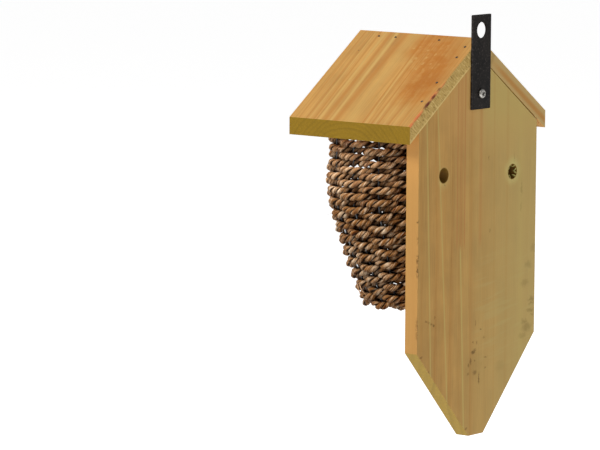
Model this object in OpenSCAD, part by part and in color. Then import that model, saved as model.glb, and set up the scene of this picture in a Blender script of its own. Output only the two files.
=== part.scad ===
// Birdhouse for a wall: a pointed backboard, a pitched roof of two panels, a hanger strap
// that swivels on one screw, and a nest pocket of rope woven round wire ribs.
// Millimetres. +Z is up and -Y is the front, where a bird flies in.
// The origin is the centre of the strap's hanging hole, on the strap's wall side.

/* [Backboard] */
// Width of the backboard
board_w = 161; // [150:1:170]
// Thickness of the backboard
board_t = 12; // [10:0.5:15]
// Height of the pointed foot, from its tip up to the straight sides
foot_h = 75; // [60:1:85]
// Width of the blunt tip of the foot
tip_w = 20; // [12:1:30]
// Diameter of the two fixing holes through the backboard
fixing_d = 12; // [6:0.5:13]
// Distance between the two fixing holes
fixing_spacing = 94; // [80:1:110]
// Height of the right fixing hole above the tip of the foot, seen from the front
fixing_z_right = 215; // [200:0.5:220]
// Height of the left fixing hole, drilled a little lower by hand
fixing_z_left = 210.5; // [200:0.5:220]

/* [Roof] */
// Height of the ridge above the tip of the foot
ridge_z = 322; // [316:1:326]
// Slope of the roof in degrees
roof_slope = 35; // [32:0.5:37]
// Width over both eaves
roof_w = 185; // [180:1:200]
// Depth from front to back
roof_d = 121; // [116:1:140]
// Thickness of each roof panel
roof_t = 11.5; // [11:0.5:14]

/* [Hanger strap] */
// Width of the strap
strap_w = 25; // [20:1:30]
// Thickness of the strap
strap_t = 1.5; // [1:0.25:2]
// Distance from the screw up to the hanging hole
strap_reach = 51; // [46:1:60]
// Distance from each hole to its end of the strap
strap_end = 12.5; // [10:0.5:15]
// Diameter of the hanging hole
hanging_d = 13; // [8:0.5:14]
// Height of the screw above the tip of the foot
screw_z = 277.5; // [274:0.5:281]
// Diameter of the screw's shank
shank_d = 4; // [3:0.5:5]
// Diameter of the screw's pan head
head_d = 7.8; // [7.5:0.1:9.5]

/* [Nest pocket] */
// Width at the top
pocket_w = 160; // [150:1:162]
// Depth at the top, from front to back
pocket_d = 106; // [90:1:106]
// Width of the base
base_w = 94; // [70:1:104]
// Depth of the base, from front to back
base_d = 73; // [56:1:78]
// Height of the base above the tip of the foot
base_z = 101; // [88:1:105]
// Height of the rim above the tip of the foot
rim_z = 248; // [240:1:249]
// Thickness of the woven wall
wall_t = 12; // [10:0.5:13]
// Width of the entrance in the front wall
entrance_w = 40; // [32:1:42]
// Height of the entrance, from its sill up to the rim rope
entrance_h = 37; // [30:1:40]
// Diameter of the rim wire and the base wire
ring_d = 2.4; // [2:0.1:3]
// Diameter of each wire rib
rib_d = 1.4; // [1.2:0.1:2.5]

/* [Hidden] */
RIBS = 17;                                    // an odd number, so that rows alternate
function rib_name(i) = str("rib_", i < 9 ? "0" : "", i + 1);

// ---- colours
BOARD = "#d9b26a";
ROOF = "#dba75e";
ROPE = "#8f6a45";
BLACK = "#2b2a2c";
ZINC = "#b9bcc0";
WIRE = "#3b3d42";

// ---- backboard and roof, with heights above the tip and y = 0 on the rear face
strap_gap = 0.25;                             // air between the strap and the board
hang_z = screw_z + strap_reach;
rise = tan(roof_slope);
plumb_t = roof_t / cos(roof_slope);           // panel thickness measured straight down
left_gap = 1.4;                               // the left panel sits this far off the gable
function roof_under(x) = ridge_z - plumb_t - abs(x) * rise;

// ---- nails: brads with small round heads
nail_d = 1.3;
nail_head_d = 2.2;
nail_head_t = 0.5;
nail_l = 28;
nail_proud = 0.15;                            // the head stands this far out of the wood
ridge_nail_y = [-37, -81, -98];               // along the ridge, from the rear face
ridge_nail_in = 6.5;                          // distance down the slope from the ridge
gable_nail_x = [10, 21, 47.5, 67];            // across the gable, into the backboard's edge
gable_nail_offset = 1.6;                      // the two sides' nails pass each other by this

// ---- screw
head_h = 2;
screw_l = 12.5;                               // under the head
screw_point = 3;                              // length of the screw's tapered point
head_gap = 0.2;                               // air between the head and the strap
shank_play = 0.06;                            // radial running clearance in the strap

// ---- nest pocket
OVAL = 2.5;                                   // exponent of the oval plan: 2 is an ellipse
back_gap = 2;                                 // air between the pocket and the backboard
lean = 6;                                     // the base lies this much nearer the board
shoulder_z = 190;                             // the wall is upright above this height
belly_x = 1.1;                                // how late the sides draw in to the base
belly_y = 1.9;                                // how late the front and back draw in
corner_r = 8;                                 // rounding of the base's edge
rim_rope_h = 7;                               // height of the rope that binds the rim
wall_top = rim_z - rim_rope_h;
sill_z = wall_top - entrance_h;
rib_depth = 6;                                // the ribs lie this far inside the outer face
rim_wire_z = rim_z - rim_rope_h / 2;
base_wire_half = [18, 13];                    // half width and half depth of the base wire
COLUMNS_FRONT = 8;                            // fine columns on each side of the entrance
COLUMNS_REST = 46;                            // columns round the rest of the wall
RIB_SIDES = 6;
RING_STEPS = 64;

// Share of the way down from the shoulder to the base, 0 at and above the shoulder.
function down(z) = max(0, (shoulder_z - z) / (shoulder_z - base_z));
// Half width, half depth and centre of the pocket's outer face at height z.
function taper_x(z) = pocket_w / 2 - (pocket_w - base_w) / 2 * pow(down(z), belly_x);
function taper_y(z) = pocket_d / 2 - (pocket_d - base_d) / 2 * pow(down(z), belly_y);
function centre_y(z) = -board_t - back_gap - pocket_d / 2 + lean * down(z);
// Inward rounding near the floor of the surface that lies `depth` inside the outer face.
function rounding(z, depth) =
    let (r = max(corner_r - depth, 2), h = z - base_z - depth)
    h >= r ? 0 : r - sqrt(max(0, r * r - (r - h) * (r - h)));
// Point at turn angle a from the front, on the surface `depth` inside the outer face.
// `share` draws it in towards the middle of the floor.
function oval_radius(hx, hy, a) =
    pow(pow(abs(sin(a)) / hx, OVAL) + pow(abs(cos(a)) / hy, OVAL), -1 / OVAL);
function oval_point(hx, hy, z, a) =
    let (r = oval_radius(hx, hy, a)) [r * sin(a), centre_y(z) - r * cos(a), z];
function wall_point(a, z, depth, share = 1) =
    let (inset = depth + rounding(z, depth))
    oval_point(share * (taper_x(z) - inset), share * (taper_y(z) - inset), z, a);

// Distance round the ribs' oval at the top, tabulated against the turn angle.
ARC_STEPS = 90;
function arc_point(i) = wall_point(i * 180 / ARC_STEPS, rim_z, rib_depth);
arc_table = [for (i = 0, s = 0; i <= ARC_STEPS;
                  s = s + norm(arc_point(i + 1) - arc_point(i)), i = i + 1)
                 [s, i * 180 / ARC_STEPS]];
half_round = arc_table[ARC_STEPS][0];
function turn_at(s) =
    s < 0 ? -lookup(-s, arc_table)
    : s <= half_round ? lookup(s, arc_table)
    : 360 - lookup(2 * half_round - s, arc_table);

// Rib 1 is at the front centre, under the entrance; the rest go round to the right.
rib_first = entrance_w / 2 + 7.5;             // the ribs beside the entrance
rib_rear_half = 10;                           // half the gap between the two rear ribs
rib_pitch = (half_round - rib_first - rib_rear_half) / (RIBS / 2 - 1.5);
function rib_place(i) =
    i == 0 ? 0
    : i <= (RIBS - 1) / 2 ? rib_first + (i - 1) * rib_pitch
    : 2 * half_round - rib_first - (RIBS - 1 - i) * rib_pitch;

function unit(v) = v / norm(v);

// Moves a part from the backboard's own heights to the strap's hanging hole.
module placed() {
    translate([0, -strap_gap - strap_t, -hang_z]) children();
}

// A plate in the XZ plane, centred on x, from z = 0 up, with round corners.
module plate(w, h, t, r) {
    for (x = [-w / 2 + r, w / 2 - r], z = [r, h - r])
        translate([x, 0, z]) rotate([-90, 0, 0]) cylinder(r = r, h = t, $fn = 24);
    translate([-w / 2 + r, 0, 0]) cube([w - 2 * r, t, h]);
    translate([-w / 2, 0, r]) cube([w, t, h - 2 * r]);
}

// Extrudes an outline drawn in X and Z backwards along +Y, from y0 over a depth d.
module upright(y0, d) {
    translate([0, y0 + d, 0]) rotate([90, 0, 0]) linear_extrude(d) children();
}

// A tube along a path. `ref` is never along the path; ru and rv are its two radii.
module tube(path, ru, rv, ref, closed = false, sides = 8) {
    n = len(path);
    points = [for (i = [0:n - 1])
        let (before = path[closed ? (i + n - 1) % n : max(i - 1, 0)],
             after = path[closed ? (i + 1) % n : min(i + 1, n - 1)],
             t = unit(after - before),
             u = unit(ref - (ref * t) * t),
             v = cross(t, u))
        for (k = [0:sides - 1]) path[i] + ru * cos(360 * k / sides) * u + rv * sin(360 * k / sides) * v];
    walls = [for (i = [0:(closed ? n : n - 1) - 1], k = [0:sides - 1])
        let (a = i * sides + k, b = i * sides + (k + 1) % sides,
             c = ((i + 1) % n) * sides + (k + 1) % sides, d = ((i + 1) % n) * sides + k)
        each [[a, d, c], [a, c, b]]];
    caps = closed ? [] : [[for (k = [0:sides - 1]) k],
                          [for (k = [sides - 1:-1:0]) (n - 1) * sides + k]];
    polyhedron(points, concat(walls, caps), convexity = 6);
}

// ---- timber

module backboard() {
    side_z = roof_under(board_w / 2);
    color(BOARD) placed() difference() {
        upright(-board_t, board_t)
            polygon([[-tip_w / 2, 0], [tip_w / 2, 0], [board_w / 2, foot_h], [board_w / 2, side_z],
                     [0, roof_under(0)], [-left_gap / 2 / rise, roof_under(0) - left_gap],
                     [-board_w / 2, side_z - left_gap], [-board_w / 2, foot_h]]);
        for (hole = [[-fixing_spacing / 2, fixing_z_left], [fixing_spacing / 2, fixing_z_right]])
            translate([hole[0], -board_t - 1, hole[1]]) rotate([-90, 0, 0])
                cylinder(d = fixing_d, h = board_t + 2, $fn = 48);
    }
}

// One roof panel, cut upright at the ridge and at the eave. side is 1 on the right.
module roof_panel(side) {
    eave_z = ridge_z - roof_w / 2 * rise;
    color(ROOF) placed() upright(-roof_d, roof_d)
        polygon([[0, ridge_z], [side * roof_w / 2, eave_z],
                 [side * roof_w / 2, eave_z - plumb_t], [0, ridge_z - plumb_t]]);
}

// ---- fixings

// A nail driven along -Z, its head just above z = 0.
module nail() {
    translate([0, 0, nail_proud - nail_head_t]) cylinder(d = nail_head_d, h = nail_head_t, $fn = 24);
    translate([0, 0, nail_proud - nail_l]) cylinder(d = nail_d, h = nail_l - nail_head_t / 2, $fn = 16);
}

// Nails through the upper end of the right panel, along the left one and into its end.
module ridge_nails() {
    color(ZINC) placed()
        for (y = ridge_nail_y)
            translate([ridge_nail_in * cos(roof_slope), y, ridge_z - ridge_nail_in * sin(roof_slope)])
                rotate([0, 90 - roof_slope, 0]) nail();
}

// Nails down through the roof's rear border into the edge of the backboard.
module gable_nails(side) {
    color(ZINC) placed()
        for (x = gable_nail_x)
            translate([side * x, -board_t / 2 - side * gable_nail_offset, ridge_z - x * rise])
                rotate([0, side * roof_slope, 0]) nail();
}

module hanger_strap() {
    color(BLACK) placed() difference() {
        translate([0, strap_gap, screw_z - strap_end])
            plate(strap_w, strap_reach + 2 * strap_end, strap_t, 0.8);
        translate([0, -1, hang_z]) rotate([-90, 0, 0]) cylinder(d = hanging_d, h = 5, $fn = 64);
        translate([0, -1, screw_z]) rotate([-90, 0, 0])
            cylinder(d = shank_d + 2 * shank_play, h = 5, $fn = 48);
    }
}

// A pan-head wood screw with a cross recess, driven forwards into the backboard.
module strap_screw() {
    head_y = strap_gap + strap_t + head_gap;
    round_r = 1.4;                            // rounding of the head's outer edge
    recess_d = 4.2;
    recess_h = 1.3;
    recess_slot = 1.1;
    color(ZINC) placed() translate([0, head_y, screw_z]) rotate([-90, 0, 0]) difference() {
        union() {
            rotate_extrude($fn = 64) {
                square([head_d / 2 - round_r, head_h]);
                square([head_d / 2, head_h - round_r]);
                translate([head_d / 2 - round_r, head_h - round_r]) intersection() {
                    circle(r = round_r, $fn = 48);
                    square(round_r);
                }
            }
            translate([0, 0, screw_point - screw_l])
                cylinder(d = shank_d, h = screw_l - screw_point, $fn = 48);
            translate([0, 0, -screw_l]) cylinder(d1 = 0.8, d2 = shank_d, h = screw_point, $fn = 48);
        }
        for (a = [0, 90]) rotate([0, 0, a + 20])
            translate([-recess_d / 2, -recess_slot / 2, head_h - recess_h])
                cube([recess_d, recess_slot, recess_h + 1]);
    }
}

// One staple over a rib: a crown inside the pocket and two legs into the backboard.
module staple(i, z) {
    wire_d = 1.4;
    span = 6;
    bite = 8;                                 // how far the legs go into the board
    at = wall_point(turn_at(rib_place(i)), z, rib_depth);
    crown_y = at[1] - rib_d / 2 - wire_d / 2 - 0.1;
    translate([at[0], 0, z]) {
        translate([-span / 2, crown_y, 0]) rotate([0, 90, 0]) cylinder(d = wire_d, h = span, $fn = 16);
        for (x = [-span / 2, span / 2])
            translate([x, crown_y, 0]) {
                sphere(d = wire_d, $fn = 16);
                rotate([-90, 0, 0]) cylinder(d = wire_d, h = -crown_y - board_t + bite, $fn = 16);
            }
    }
}

module pocket_staples() {
    color(ZINC) placed() {
        for (i = [7, 10]) staple(i, wall_top - 12);
        for (i = [8, 9]) staple(i, shoulder_z - 28);
    }
}

// ---- nest pocket

// Height of the wall's top edge at distance s round from the front centre: the entrance is
// a rounded scoop in it, which the rim rope closes above.
function wall_edge(s) =
    let (q = min(1, abs(s) / (entrance_w / 2 + 1)))
    wall_top - entrance_h * pow(1 - pow(q, 3), 1 / 3);

module woven_pocket() {
    fine = 3;                                 // column spacing at the entrance
    edge_s = COLUMNS_FRONT * fine;
    stretch = (2 * half_round - 2 * edge_s) / (COLUMNS_REST + 1);
    columns = [for (i = [-COLUMNS_FRONT:COLUMNS_FRONT]) i * fine,
               for (i = [1:COLUMNS_REST]) edge_s + i * stretch];
    n = len(columns);
    // Each level is [height, share of the floor]; above shoulder_z the height is the
    // share of the way up to the wall's own top edge.
    floor_shares = [0.5, 1];
    corner_steps = [0.12, 0.35, 0.65, 1];
    wall_steps = [for (k = [1:6]) k / 6];
    top_steps = [1 / 3, 2 / 3, 1];
    function level(depth, k, s) =
        let (low = base_z + depth, r = max(corner_r - depth, 2))
        k < 2 ? [low, floor_shares[k]]
        : k < 6 ? [low + r * corner_steps[k - 2], 1]
        : k < 12 ? [low + r + (shoulder_z - low - r) * wall_steps[k - 6], 1]
        : [shoulder_z + (wall_edge(s) - shoulder_z) * top_steps[k - 12], 1];
    LEVELS = 15;
    function ring_point(depth, k, s) =
        let (l = level(depth, k, s)) wall_point(turn_at(s), l[0], depth, l[1]);
    outer = [for (k = [0:LEVELS - 1], s = columns) ring_point(0, k, s)];
    inner = [for (k = [LEVELS - 1:-1:0], s = columns) ring_point(wall_t, k, s)];
    rings = 2 * LEVELS;
    points = concat(outer, inner, [[0, centre_y(base_z), base_z],
                                   [0, centre_y(base_z + wall_t), base_z + wall_t]]);
    sides = [for (j = [0:rings - 2], i = [0:n - 1])
        let (a = j * n + i, b = j * n + (i + 1) % n, c = a + n, d = b + n)
        each [[a, c, d], [a, d, b]]];
    bottoms = [for (i = [0:n - 1])
        let (j = (i + 1) % n, top = (rings - 1) * n)
        each [[rings * n, i, j], [rings * n + 1, top + j, top + i]]];
    color(ROPE) placed() polyhedron(points, concat(sides, bottoms), convexity = 8);
}

function ring_path(z, depth, steps) =
    [for (i = [0:steps - 1]) wall_point(i * 360 / steps, z, depth)];

// Two turns of rope side by side round the rim wire.
module rim_rope() {
    color(ROPE) placed()
        tube(ring_path(rim_wire_z, wall_t / 2, RING_STEPS), rim_rope_h / 2, wall_t / 2,
             [0, 0, 1], closed = true, sides = 10);
}

module rim_wire() {
    color(WIRE) placed()
        tube(ring_path(rim_wire_z, rib_depth, RING_STEPS), ring_d / 2, ring_d / 2,
             [0, 0, 1], closed = true);
}

// The small oval ring in the middle of the floor, round which every rib hooks.
module base_wire() {
    z = base_z + rib_depth;
    color(WIRE) placed()
        tube([for (i = [0:35]) oval_point(base_wire_half[0], base_wire_half[1], z, i * 10)],
             ring_d / 2, ring_d / 2, [0, 0, 1], closed = true);
}

// A rib runs down the middle of the wall, round the base's edge and in to the base wire.
// The front one starts at the entrance's sill.
module rib(i) {
    a = turn_at(rib_place(i));
    low = base_z + rib_depth;
    r = max(corner_r - rib_depth, 2);
    start_z = i == 0 ? sill_z - 2 : rim_wire_z;
    end = oval_point(base_wire_half[0], base_wire_half[1], low, a);
    wall = [for (k = [0:14]) wall_point(a, start_z + (low + r - start_z) * k / 14, rib_depth)];
    corner = [for (z = [0.6, 0.25, 0.05]) wall_point(a, low + r * z, rib_depth)];
    across = wall_point(a, low + 1, rib_depth) - wall_point(a + 2, low + 1, rib_depth);
    color(WIRE) placed()
        tube(concat(wall, corner, [end]), rib_d / 2, rib_d / 2, unit(across), sides = RIB_SIDES);
}

backboard();
roof_panel(1);  // roof_panel_right
roof_panel(-1);  // roof_panel_left
ridge_nails();
gable_nails(1);  // gable_nails_right
gable_nails(-1);  // gable_nails_left
hanger_strap();
strap_screw();
woven_pocket();
rim_rope();
rim_wire();
base_wire();
pocket_staples();
for (i = [0:RIBS - 1])
    rib(i);
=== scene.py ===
"""Birdhouse with a woven nest pocket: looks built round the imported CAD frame.

Metres, +Z up, -Y the front. The pocket's shapes are worked out in millimetres from the
middle of the backboard's tip, on its rear face, and to_row() moves them to the row frame.
"""
import math

import bpy
import numpy as np
from mathutils import Matrix, Vector


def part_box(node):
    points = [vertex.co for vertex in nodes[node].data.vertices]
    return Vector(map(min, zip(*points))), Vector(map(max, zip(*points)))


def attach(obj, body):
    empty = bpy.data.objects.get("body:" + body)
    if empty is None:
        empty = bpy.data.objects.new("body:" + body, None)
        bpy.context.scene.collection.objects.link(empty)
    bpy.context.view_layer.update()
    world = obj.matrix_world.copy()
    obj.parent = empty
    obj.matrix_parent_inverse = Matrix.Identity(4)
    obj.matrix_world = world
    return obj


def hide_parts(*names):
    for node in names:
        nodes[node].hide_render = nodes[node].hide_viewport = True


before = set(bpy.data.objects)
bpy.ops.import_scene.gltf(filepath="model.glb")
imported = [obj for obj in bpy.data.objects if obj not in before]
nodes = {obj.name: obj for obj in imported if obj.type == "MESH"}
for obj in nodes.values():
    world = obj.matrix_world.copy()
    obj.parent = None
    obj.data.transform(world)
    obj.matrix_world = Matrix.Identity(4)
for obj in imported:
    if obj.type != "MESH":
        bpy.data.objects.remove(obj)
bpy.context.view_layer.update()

MM = 0.001
board_lo, board_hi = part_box("backboard")
pocket_lo, pocket_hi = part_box("woven_pocket")
strap_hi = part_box("hanger_strap")[1]
rng = np.random.default_rng(7)          # for the loose fibres

RIGHT, REAR, UP = (1, 0, 0), (0, 1, 0), (0, 0, 1)


def to_row(points):
    """Millimetres from the board's rear face and tip, to metres in the row frame."""
    return np.asarray(points, float) * MM + np.array([0.0, board_hi.y, board_lo.z])


# ---------------------------------------------------------------- camera and light

CAMERA_AZIMUTH = 126.7      # degrees from the front, towards +X and the rear
CAMERA_ELEVATION = 7.14
CAMERA_ROLL = 0.58
CAMERA_DISTANCE = 3.257     # metres
CAMERA_AIM = (0, -57, 166.3)            # millimetres, for to_row()
CAMERA_LENS = 240           # millimetres, as the sensor's width is
CAMERA_SENSOR = 36
CAMERA_SHIFT = -0.202       # the object stands in the right half of the picture
CAMERA_FAR = 100

# Lamps: name, azimuth, elevation, distance and size in metres, watts and colour.
LAMPS = [("key", 78, 48, 2.6, 1.2, 40, (1, 0.98, 0.95)),
         ("fill", 175, 25, 3, 2.2, 7.6, (0.96, 0.98, 1)),
         ("front", -30, 40, 3, 2, 14, (1, 1, 1))]
WORLD_STRENGTH = 0.35

FLOOR_DROP = 0.16           # metres from the tip of the foot down to the floor
FLOOR_SIZE = 60             # metres
FLOOR_PAINT = (0.9, 0.9, 0.9, 1)
FLOOR_ROUGHNESS = 0.9
FLOOR_GLOW = 0.66           # makes the floor as pale as the photo's background


def direction(azimuth, elevation):
    a, e = math.radians(azimuth), math.radians(elevation)
    return Vector((math.sin(a) * math.cos(e), -math.cos(a) * math.cos(e), math.sin(e)))


def add_camera():
    data = bpy.data.cameras.new("camera")
    data.lens = CAMERA_LENS
    data.sensor_width = CAMERA_SENSOR
    data.shift_x = CAMERA_SHIFT
    data.clip_end = CAMERA_FAR
    camera = bpy.data.objects.new("camera", data)
    bpy.context.scene.collection.objects.link(camera)
    out = direction(CAMERA_AZIMUTH, CAMERA_ELEVATION)
    right = (-out).cross(Vector(UP)).normalized()
    up = right.cross(-out)
    roll = math.radians(CAMERA_ROLL)
    tilted_right = math.cos(roll) * right + math.sin(roll) * up
    tilted_up = math.cos(roll) * up - math.sin(roll) * right
    turn = Matrix((tilted_right, tilted_up, out)).transposed().to_4x4()
    aim = Vector(to_row(CAMERA_AIM))
    camera.matrix_world = Matrix.Translation(aim + out * CAMERA_DISTANCE) @ turn
    bpy.context.scene.camera = camera


def add_light(name, azimuth, elevation, distance, size, power, colour):
    data = bpy.data.lights.new(name, "AREA")
    data.shape = "DISK"
    data.size = size
    data.energy = power
    data.color = colour
    light = bpy.data.objects.new(name, data)
    bpy.context.scene.collection.objects.link(light)
    out = direction(azimuth, elevation)
    light.location = Vector(to_row(CAMERA_AIM)) + out * distance
    light.rotation_euler = out.to_track_quat("Z", "Y").to_euler()


def add_studio():
    for lamp in LAMPS:
        add_light(*lamp)
    world = bpy.data.worlds.new("studio")
    world.use_nodes = True
    background = world.node_tree.nodes["Background"].inputs
    background["Color"].default_value = (1, 1, 1, 1)
    background["Strength"].default_value = WORLD_STRENGTH
    bpy.context.scene.world = world
    bpy.context.scene.view_settings.view_transform = "Standard"


def add_floor():
    mesh = bpy.data.meshes.new("floor")
    half = FLOOR_SIZE / 2
    corners = [(-half, -half, 0), (half, -half, 0), (half, half, 0), (-half, half, 0)]
    mesh.from_pydata(corners, [], [(0, 1, 2, 3)])
    floor = bpy.data.objects.new("floor", mesh)
    bpy.context.scene.collection.objects.link(floor)
    floor.location.z = board_lo.z - FLOOR_DROP
    tree = Tree("floor_paint")
    tree.surface({"Base Color": FLOOR_PAINT, "Roughness": FLOOR_ROUGHNESS,
                  "Emission Color": (1, 1, 1, 1), "Emission Strength": FLOOR_GLOW})
    mesh.materials.append(tree.material)


# ---------------------------------------------------------------- shader helpers

class Tree:
    """One material. Inputs of its nodes are numbers, colours or other nodes' sockets."""

    def __init__(self, name):
        self.material = bpy.data.materials.new(name)
        self.material.use_nodes = True
        self.nodes = self.material.node_tree.nodes
        self.links = self.material.node_tree.links
        self.nodes.clear()
        output = self.nodes.new("ShaderNodeOutputMaterial")
        self.shader = self.nodes.new("ShaderNodeBsdfPrincipled")
        self.links.new(self.shader.outputs[0], output.inputs["Surface"])

    def put(self, socket, value):
        if isinstance(value, bpy.types.NodeSocket):
            self.links.new(value, socket)
        elif hasattr(socket.default_value, "__len__") and not hasattr(value, "__len__"):
            socket.default_value = [value] * len(socket.default_value)
        else:
            socket.default_value = value

    def add(self, kind, inputs, **settings):
        node = self.nodes.new(kind)
        for key, value in settings.items():
            setattr(node, key, value)
        for key, value in inputs.items():
            self.put(node.inputs[key], value)
        return node

    def surface(self, inputs):
        for key, value in inputs.items():
            self.put(self.shader.inputs[key], value)

    def math(self, operation, a, b=0.0):
        return self.add("ShaderNodeMath", {0: a, 1: b}, operation=operation).outputs[0]

    def plus(self, a, b):
        return self.math("ADD", a, b)

    def times(self, a, b):
        return self.math("MULTIPLY", a, b)

    def vector(self, x=0.0, y=0.0, z=0.0):
        return self.add("ShaderNodeCombineXYZ", {0: x, 1: y, 2: z}).outputs[0]

    def parts(self, vector):
        return self.add("ShaderNodeSeparateXYZ", {0: vector}).outputs

    def vectors(self, operation, a, b=(0, 0, 0), c=(0, 0, 0), scale=1.0):
        """Vector arithmetic. Its outputs are "Vector" and "Value"."""
        inputs = {0: a, 1: b, 2: c, 3: scale}
        return self.add("ShaderNodeVectorMath", inputs, operation=operation).outputs

    def dot(self, vector, axis):
        return self.vectors("DOT_PRODUCT", vector, axis)["Value"]

    def noise(self, vector, scale=1.0, detail=2.0, rough=0.5, output=0):
        inputs = {"Vector": vector, "Scale": scale, "Detail": detail, "Roughness": rough}
        return self.add("ShaderNodeTexNoise", inputs).outputs[output]

    def random(self, value):
        node = self.add("ShaderNodeTexWhiteNoise", {"W": value}, noise_dimensions="1D")
        return node.outputs["Value"]

    def step(self, value, low, high, to_low=0.0, to_high=1.0):
        """Smooth step of value from low to high."""
        inputs = {"Value": value, "From Min": low, "From Max": high,
                  "To Min": to_low, "To Max": to_high}
        return self.add("ShaderNodeMapRange", inputs, interpolation_type="SMOOTHSTEP").outputs[0]

    def near_zero(self, value, outer, inner=0.0, share=1.0):
        """share where value is within inner of zero, and less and less out to outer."""
        return self.step(self.math("ABSOLUTE", value), outer, inner, 0.0, share)

    def facing(self, axis, low, high):
        """Mask of the surfaces that face along axis."""
        return self.step(self.dot(self.normal(), axis), low, high)

    def mix(self, share, a, b, blend="MIX"):
        node = self.add("ShaderNodeMix", {0: share}, data_type="RGBA", blend_type=blend)
        self.put(node.inputs[6], a)
        self.put(node.inputs[7], b)
        return node.outputs[2]

    def dimmed(self, colour, amount):
        """colour with its red, green and blue each multiplied by amount."""
        return self.mix(1.0, colour, self.vector(amount, amount, amount), "MULTIPLY")

    def object_mm(self):
        coords = self.nodes.new("ShaderNodeTexCoord").outputs["Object"]
        return self.vectors("SCALE", coords, scale=1 / MM)["Vector"]

    def normal(self):
        return self.nodes.new("ShaderNodeNewGeometry").outputs["Normal"]

    def bump(self, height, strength, distance):
        inputs = {"Height": height, "Strength": strength, "Distance": distance}
        self.surface({"Normal": self.add("ShaderNodeBump", inputs).outputs[0]})


def rgb(red, green, blue):
    """A colour given as 0 to 255 on a screen, as the shader's linear values."""
    def linear(c):
        c /= 255
        return c / 12.92 if c <= 0.04045 else ((c + 0.055) / 1.055) ** 2.4
    return (linear(red), linear(green), linear(blue), 1)


def shaded(colour, amount):
    return tuple(c * amount for c in colour[:3]) + (1,)


# ---------------------------------------------------------------- wood

class Wood:
    """Softwood whose growth rings run round a pith line along the grain.

    along, across and through are the board's own directions, measured from origin in
    millimetres; pith gives the pith line's place across and through the board, and ring
    the width of a year's growth. seed tells one board's noise from another's.
    """

    def __init__(self, name, origin, along, across, through, pith, ring, early, late, end, seed):
        self.tree = t = Tree(name)
        self.seed = seed
        self.place = t.object_mm()
        own = t.vectors("SUBTRACT", self.place, origin)["Vector"]
        self.along = t.dot(own, along)
        self.across = t.dot(own, across)
        self.through = t.dot(own, through)
        # growth rings round a pith line that sways along the board
        slow = self.stretched(0.0045, 0.02)
        sway = t.times(t.plus(t.noise(slow, 1), -0.5), 10)
        rise = t.times(t.plus(t.noise(slow, 1.7), -0.5), 6)
        a = t.plus(t.plus(self.across, -pith[0]), sway)
        b = t.plus(t.plus(self.through, -pith[1]), rise)
        radius = t.math("SQRT", t.plus(t.times(a, a), t.times(b, b)))
        rings = t.math("DIVIDE", radius, ring)
        part = t.math("FRACT", rings)
        late_wood = t.times(t.step(part, 0.3, 0.9), t.step(part, 1.0, 0.92))
        strength = t.step(t.random(t.math("FLOOR", rings)), 0.0, 1.0, 0.35, 1.0)
        self.rings = t.times(late_wood, strength)
        # fibres, streaks and blotches of the long grain
        self.fibre = t.noise(self.stretched(0.03, 1.1), 1, 3, 0.6)
        streak = t.noise(self.stretched(0.006, 0.05), 1)
        self.waver = t.times(t.plus(streak, -0.5), 4)
        blotch = t.noise(self.place, 0.035, 3, 0.6)
        shade = t.plus(t.step(self.fibre, 0.25, 0.75, -0.1, 0.1),
                       t.step(streak, 0.25, 0.75, 0.94, 1.06))
        shade = t.plus(shade, t.step(blotch, 0.3, 0.7, -0.06, 0.06))
        self.colour = t.dimmed(t.mix(t.times(self.rings, 0.75), early, late), shade)
        # the cells of the end grain
        cell = t.noise(self.place, 0.9, 4, 0.7)
        cut = t.mix(t.step(blotch, 0.35, 0.65, 0.0, 0.25), end, shaded(end, 1.25))
        cut = t.mix(t.times(self.rings, 0.42), cut, shaded(end, 0.62))
        self.end_grain = t.mix(t.step(cell, 0.35, 0.65, 0.0, 0.4), cut, shaded(end, 0.6))
        self.end_mask = t.step(t.math("ABSOLUTE", t.dot(t.normal(), along)), 0.45, 0.6)
        self.height = t.plus(t.times(self.fibre, 0.5), t.times(self.rings, 0.35))

    def stretched(self, lengthwise, crosswise):
        """A place for noise to be read at, drawn out along the grain."""
        t = self.tree
        return t.vector(t.times(self.along, lengthwise), t.times(self.across, crosswise),
                        t.plus(t.times(self.through, crosswise), self.seed))

    def tint(self, mask, colour, share=1.0):
        self.colour = self.tree.mix(self.tree.times(mask, share), self.colour, colour)

    def stripe(self, at_start, at_end, length, width):
        """A soft stripe along the grain, whose place across shifts evenly over length."""
        t = self.tree
        drift = t.plus(t.times(self.along, (at_end - at_start) / length), at_start)
        away = t.math("SUBTRACT", t.plus(self.across, t.times(self.waver, 0.35)), drift)
        return t.near_zero(away, width)

    def spots(self, places, ragged=1.5, grain=0.35):
        """Small uneven oval spots, each given as across, along, half sizes and strength."""
        t = self.tree
        jog = t.noise(self.place, grain, 3.0, output="Color")
        jog = t.vectors("ADD", jog, (-0.5, -0.5, -0.5))["Vector"]
        jog = t.vectors("SCALE", jog, scale=ragged * 4)["Vector"]
        flat = t.vectors("ADD", t.vector(self.across, self.along), jog)["Vector"]
        total = 0.0
        for x, z, half_x, half_z, share in places:
            shrink, shift = (1 / half_x, 1 / half_z, 0), (-x / half_x, -z / half_z, 0)
            local = t.vectors("MULTIPLY_ADD", flat, shrink, shift)["Vector"]
            away = t.vectors("LENGTH", local)["Value"]
            total = t.math("MAXIMUM", total, t.step(away, 1.3, 0.3, 0.0, share))
        return total

    def finish(self, rough, strength):
        t = self.tree
        t.surface({"Base Color": t.mix(self.end_mask, self.colour, self.end_grain),
                   "Roughness": rough, "Specular IOR Level": WOOD_SPECULAR})
        t.bump(self.height, strength, WOOD_RELIEF)
        return t.material


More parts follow.
